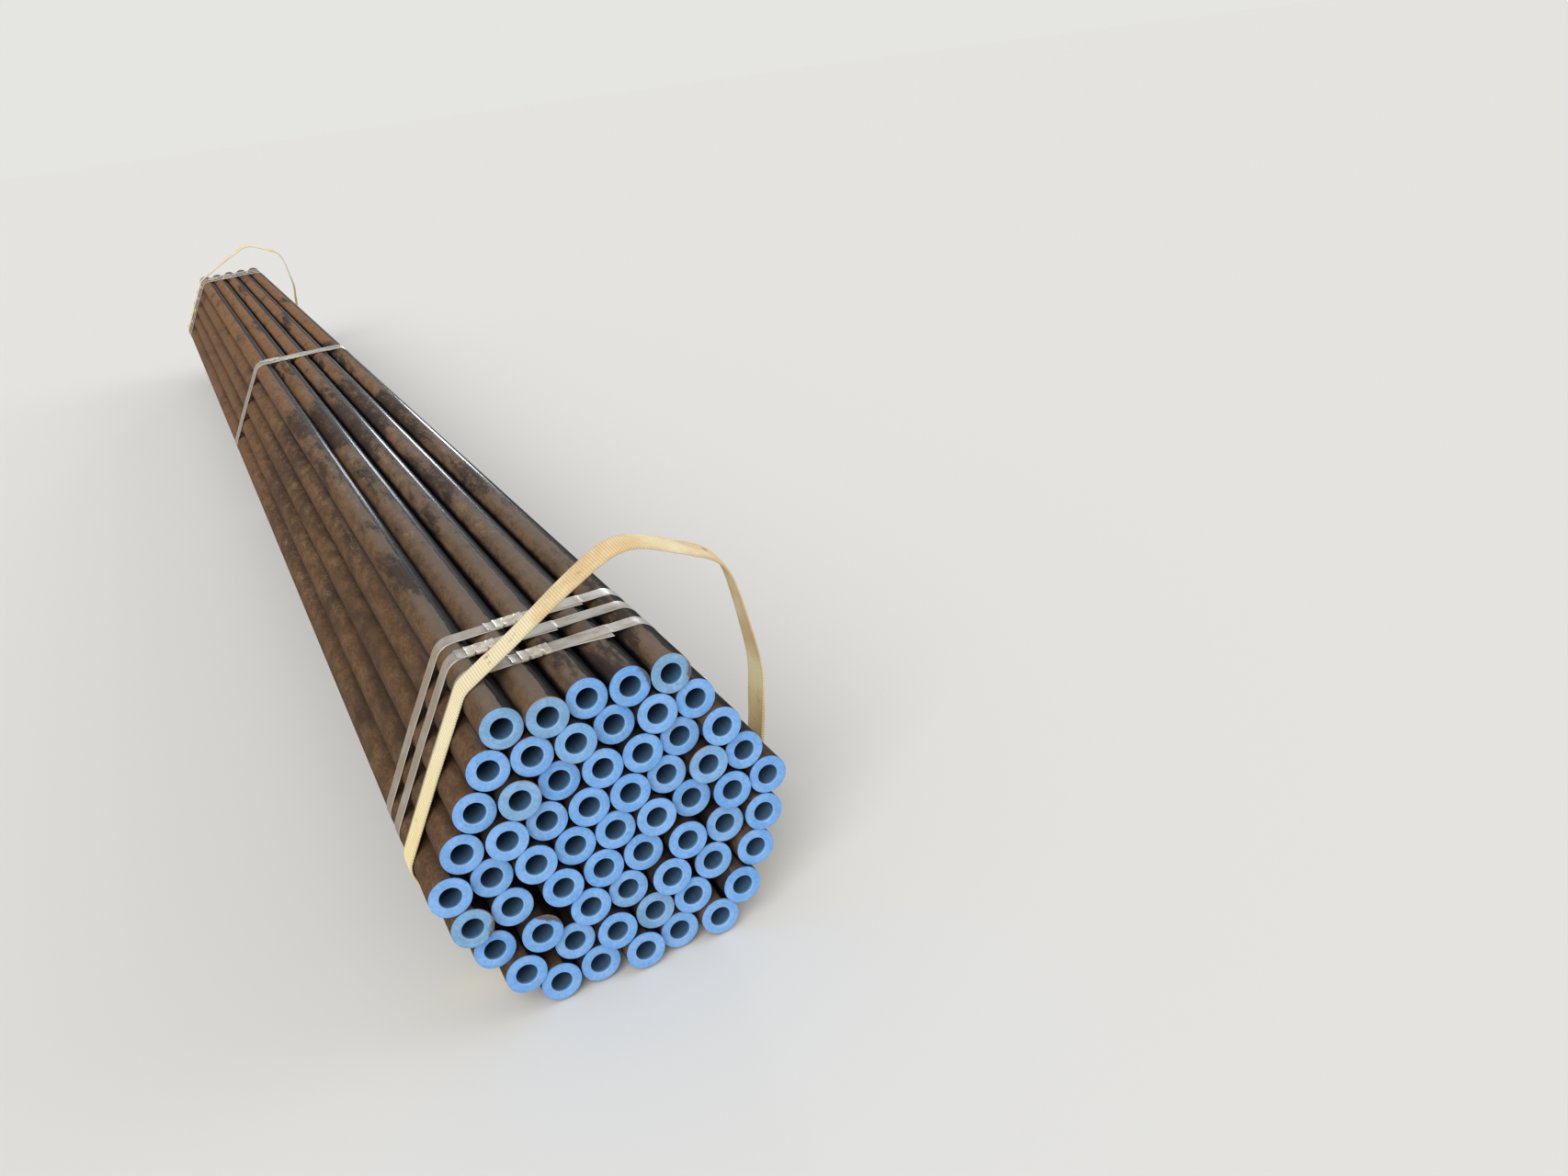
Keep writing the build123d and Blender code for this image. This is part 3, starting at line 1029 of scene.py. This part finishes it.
def crimp_seal(name, circles, settings, material, chance):
    """One seal: a folded sleeve, pinched by its crimps."""
    run = StrapRun(name, circles)
    bottom = -STRAP_THICKNESS / 2 - LAP_CLEARANCE
    height = 2 * STRAP_THICKNESS + 3 * LAP_CLEARANCE
    section = seal_section(run.width + 2 * LAP_CLEARANCE, height)
    steps = 36
    places = [run.seal + SEAL_LENGTH * (step / steps - 0.5) for step in range(steps + 1)]
    offset = Vector([chance.uniform(0, 50) for axis in range(3)])

    def shape(place, across, out):
        from_middle = (place - run.seal) / (SEAL_LENGTH / 2)
        lumps = noise.noise(Vector((place * 140, across * 140, 0)) + offset)
        # The sheet over the strap bends up, and the sheet under it bends down, but less
        crumpled, flared, bent = (1, 1, 1) if out > height / 2 else (0.3, -0.3, -0.6)
        pinch = 1 - notched(place, run.seal)
        moved = bottom + out + settings.crumple * lumps * crumpled
        moved += settings.flare * abs(from_middle) ** 6 * flared
        moved += pinch * 0.006 * (abs(across) / (run.width / 2)) ** 3 * bent
        return place, across * (1 - pinch), moved

    bm = bmesh.new()
    skin_along(bm, run.loop, places, section, run.middle, shape)
    piece(f"seal_{name}_sleeve", bm, material, "seal_steel", f"seal_{name}", sharp=38)


def sling_loop(name, circles):
    """Middle line of a sling: tight under the pack, slack over its right side."""
    top = max(z + radius for x, z, radius in circles)
    side = max(x + radius for x, z, radius in circles)
    widest = max(circles, key=lambda circle: circle[0])
    crown = top + SLING_RISES[name]
    bends = [
        (side + CROWN[0], crown + CROWN[1], CROWN[2]),
        (side + SHOULDER[0], crown + SHOULDER[1], SHOULDER[2]),
        (side + SIDE_BULGE - SIDE_RADIUS, (widest[1] + top) / 2, SIDE_RADIUS),
    ]
    stand_off = STRAP_CLEARANCE + STRAP_THICKNESS + SLING_CLEARANCE + SLING_THICKNESS / 2
    loop = Loop(circles + bends, stand_off)
    loop.relax([0.9 * slackness(point, circles) for point in loop.points], 60)
    return loop


def slackness(point, circles):
    """How free the webbing is to sway: 0 on the pack and up to 1 in the arch."""
    gap = min((point - Vector(c[:2])).length - c[2] for c in circles)
    return min(max((gap - 0.022) / 0.06, 0.0), 1.0)


def sway(name, loop, circles, width, phase):
    """How a sling's webbing strays from its even loop, as a shape for skin_along."""
    count = 400
    slacks = [
        slackness(loop.at(loop.length * number / count)[0], circles) for number in range(count)
    ]

    def shape(place, across, out):
        place %= loop.length
        turn = place / loop.length * math.tau
        number = place / loop.length * count
        here, there = (slacks[end % count] for end in (math.floor(number), math.ceil(number)))
        slack = here + (there - here) * (number % 1)
        aside = slack * math.sin(2 * turn + phase)
        moved = out + across * math.sin(math.radians(SLING_TWIST) * aside)
        moved += SLING_WAVE * slack * math.sin(5 * turn + phase)
        moved -= SLING_CUP * slack * (2 * across / width) ** 2
        for crease, skew, depth in SLING_CREASES:
            off = (place - crease * loop.length - skew * across) / CREASE_WIDTH
            moved -= depth * math.exp(-off * off)
        return place, across + SLING_DRIFT * aside, moved

    return shape


def ribbed(shape, width, settings):
    """The shape with the weave's ribs, which die out towards the edges."""

    def carried(place, across, out):
        rib = math.sin(math.tau * place / settings.rib_pitch) - 1
        fading = 1 - (2 * across / width) ** 8
        thinned = 1 + rib * fading * settings.rib_height / SLING_THICKNESS
        return shape(place, across, out * thinned)

    return carried


def sew_lap(bm, loop, middle, width, shape, settings):
    """Outer end of the webbing, laid over the loop and dipping into it at its far end."""
    steps = round(settings.join_length / settings.rib_pitch) * 4
    places = [LAP_START + settings.join_length * step / steps for step in range(steps + 1)]

    def lapped(place, across, out):
        left = (LAP_START + settings.join_length - place) / LAP_DIP
        return shape(place, across, out + min(max(left, 0.0), 1.0) * LAP_RISE)

    thickness = SLING_THICKNESS - settings.rib_height
    section = flat_section(width - LAP_INSET, thickness, 12, 0.0012)
    skin_along(bm, loop, places, section, middle, ribbed(lapped, width, settings))


def stitch_places(length):
    """Middle and direction of each stitch on the lap: four rows along and two across."""
    places = []
    for across in STITCH_ROWS:
        for number in range(round(length / STITCH_PITCH)):
            places.append((LAP_START + 0.004 + STITCH_PITCH * number, across, 0.0))
    for place in (LAP_START + 0.006, LAP_START + length - 0.003):
        for number in range(-3, 4):
            places.append((place, 0.0052 * number + 0.0005, math.pi / 2))
    return places


def stitch_lap(name, loop, middle, shape, settings, thread):
    """The stitches of the lap, each a short rounded bar of thread."""
    bm = bmesh.new()
    top = SLING_THICKNESS / 2 + LAP_RISE - settings.rib_height / 2
    for place, across, turn in stitch_places(settings.join_length - 0.030):
        place, across, out = shape(place, across, top)
        point, normal = loop.at(place)
        outwards = Vector((normal.x, 0, normal.y))
        along = Vector((-normal.y, 0, normal.x))
        centre = Vector((point.x, middle + across, point.y)) + outwards * out
        axes = Matrix((along, outwards.cross(along), outwards)).transposed().to_4x4()
        turned = Matrix.Rotation(turn, 4, "Z") @ Matrix.Diagonal((*STITCH_HALF, 1))
        bmesh.ops.create_uvsphere(
            bm,
            u_segments=8,
            v_segments=5,
            radius=1,
            matrix=Matrix.Translation(centre) @ axes @ turned,
        )
    piece(f"sling_{name}_stitches", bm, thread, "webbing", sharp=180)


def hang_sling(name, circles, settings, material, thread, chance):
    """One endless webbing sling with its sewn lap."""
    loop = sling_loop(name, circles)
    low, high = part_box(f"sling_{name}")
    middle = (low[1] + high[1]) / 2
    width = high[1] - low[1]
    seam = LAP_START + settings.join_length / 2
    steps = math.floor(loop.length / settings.rib_pitch * 4)
    places = [seam + settings.rib_pitch * step / 4 for step in range(steps)] + [seam + loop.length]
    shape = sway(name, loop, circles, width, chance.uniform(0, math.tau))

    bm = bmesh.new()
    section = flat_section(width, SLING_THICKNESS, 12, SLING_THICKNESS / 2)
    skin_along(bm, loop, places, section, middle, ribbed(shape, width, settings), closed=True)
    sew_lap(bm, loop, middle, width, shape, settings)
    piece(f"sling_{name}_webbing", bm, material, "webbing", f"sling_{name}", sharp=70)
    stitch_lap(name, loop, middle, shape, settings, thread)


# Operators


def build_each(names, build, settings, *materials):
    """Build a piece for each name, round the pack's pipes."""
    circles = pack_circles()
    chance = random.Random(settings.seed)
    for name in names:
        build(name, circles, settings, *materials, chance)


class BUNDLE_OT_lay_pipes(bpy.types.Operator):
    """Lay the pipes of the pack, row by row"""

    bl_idname = "bundle.lay_pipes"
    bl_label = "Lay pipes"

    def execute(self, context):
        settings = context.scene.bundle_pipes
        low, high = solid_boxes("pipes_row_1")[0]
        blank = pipe_blank((high.z - low.z) / 2, high.y - low.y, settings)
        material = pipe_material(settings)
        chance = random.Random(settings.seed)
        for row in range(1, ROWS + 1):
            lay_row(row, blank, chance, material)
        bpy.data.meshes.remove(blank)
        return {"FINISHED"}


class BUNDLE_OT_wrap_straps(bpy.types.Operator):
    """Wrap the steel straps round the pack"""

    bl_idname = "bundle.wrap_straps"
    bl_label = "Wrap straps"

    def execute(self, context):
        settings = context.scene.bundle_straps
        build_each(STRAPS, wrap_strap, settings, strap_material(settings))
        return {"FINISHED"}


class BUNDLE_OT_crimp_seals(bpy.types.Operator):
    """Crimp a seal on every strap"""

    bl_idname = "bundle.crimp_seals"
    bl_label = "Crimp seals"

    def execute(self, context):
        settings = context.scene.bundle_seals
        build_each(STRAPS, crimp_seal, settings, seal_material(settings))
        return {"FINISHED"}


class BUNDLE_OT_hang_slings(bpy.types.Operator):
    """Pass the webbing slings round the pack"""

    bl_idname = "bundle.hang_slings"
    bl_label = "Hang slings"

    def execute(self, context):
        settings = context.scene.bundle_slings
        build_each(SLINGS, hang_sling, settings, webbing_material(settings), thread_material())
        return {"FINISHED"}


def far_lamp(name, towards, softness, strength, colour):
    """Soft lamp far away in a direction, which lights the whole length alike."""
    data = bpy.data.lights.new(name, "SUN")
    data.angle = math.radians(softness)
    data.energy = strength
    data.color = colour
    placed(name, data).rotation_euler = Vector(towards).to_track_quat("Z", "Y").to_euler()


def light_world(settings):
    """Even light from all round. The camera and reflections see a pale background."""
    world = bpy.data.worlds.new("Pale surroundings")
    nodes = Nodes(world)
    camera_ray = nodes.node("ShaderNodeLightPath", output="Is Camera Ray")
    seen = camera_ray.at_least(nodes.other_output(camera_ray, "Is Transmission Ray"))
    seen = seen.at_least(nodes.other_output(camera_ray, "Is Glossy Ray"))
    white = {"Color": (1.0, 1.0, 1.0, 1.0), "Strength": settings.ambient}
    even = nodes.node("ShaderNodeBackground", sockets=white)
    pale = nodes.node("ShaderNodeBackground", sockets={"Color": (*settings.backdrop, 1.0)})
    mixed = nodes.node("ShaderNodeMixShader", sockets={0: seen, 1: even, 2: pale})
    nodes.node("ShaderNodeOutputWorld", sockets={"Surface": mixed})
    bpy.context.scene.world = world


class BUNDLE_OT_set_stage(bpy.types.Operator):
    """Set the floor, the lamps and the camera"""

    bl_idname = "bundle.set_stage"
    bl_label = "Set stage"

    def execute(self, context):
        settings = context.scene.bundle_stage
        bm = bmesh.new()
        bmesh.ops.create_circle(bm, cap_ends=True, segments=96, radius=60)
        matt = Shader("Floor").surface(
            base_color=(*settings.floor, 1.0), roughness=1.0, specular_ior_level=0.0
        )
        floor = placed("floor", mesh_from("floor", bm, matt))

        light_world(settings)
        for name, (towards, softness, strength, colour) in LAMPS.items():
            far_lamp(name, towards, softness, strength * settings.lamps, colour)

        data = bpy.data.cameras.new("camera")
        data.sensor_width = 36.0
        data.lens = CAMERA_LENS
        camera = placed("camera", data)
        turned = Matrix((CAMERA_RIGHT, CAMERA_UP, -CAMERA_FORWARD)).transposed().to_4x4()
        camera.matrix_world = Matrix.Translation(CAMERA_PLACE) @ turned
        context.scene.camera = camera
        context.scene.view_settings.view_transform = "Standard"
        return {"FINISHED"}


class BUNDLE_PT_panel(bpy.types.Panel):
    """Lists the steps that build the bundle"""

    bl_label = "Pipe bundle"
    bl_idname = "BUNDLE_PT_panel"
    bl_space_type = "VIEW_3D"
    bl_region_type = "UI"
    bl_category = "Pipe bundle"

    def draw(self, context):
        for name, (group, operator) in STEPS.items():
            box = self.layout.box()
            for setting in group.__annotations__:
                box.prop(getattr(context.scene, name), setting)
            box.operator(operator.bl_idname)


# The steps in order: where the scene keeps the settings, their class and the operator
STEPS = {
    "bundle_pipes": (PipeSettings, BUNDLE_OT_lay_pipes),
    "bundle_straps": (StrapSettings, BUNDLE_OT_wrap_straps),
    "bundle_seals": (SealSettings, BUNDLE_OT_crimp_seals),
    "bundle_slings": (SlingSettings, BUNDLE_OT_hang_slings),
    "bundle_stage": (StageSettings, BUNDLE_OT_set_stage),
}


def register():
    for name, (group, operator) in STEPS.items():
        bpy.utils.register_class(group)
        setattr(bpy.types.Scene, name, bpy.props.PointerProperty(type=group))
        bpy.utils.register_class(operator)
    bpy.utils.register_class(BUNDLE_PT_panel)


def unregister():
    bpy.utils.unregister_class(BUNDLE_PT_panel)
    for name, (group, operator) in STEPS.items():
        bpy.utils.unregister_class(operator)
        delattr(bpy.types.Scene, name)
        bpy.utils.unregister_class(group)


def main():
    register()
    bpy.ops.bundle.lay_pipes()
    bpy.ops.bundle.wrap_straps()
    bpy.ops.bundle.crimp_seals()
    bpy.ops.bundle.hang_slings()
    bpy.ops.bundle.set_stage()


if __name__ == "__main__":
    main()
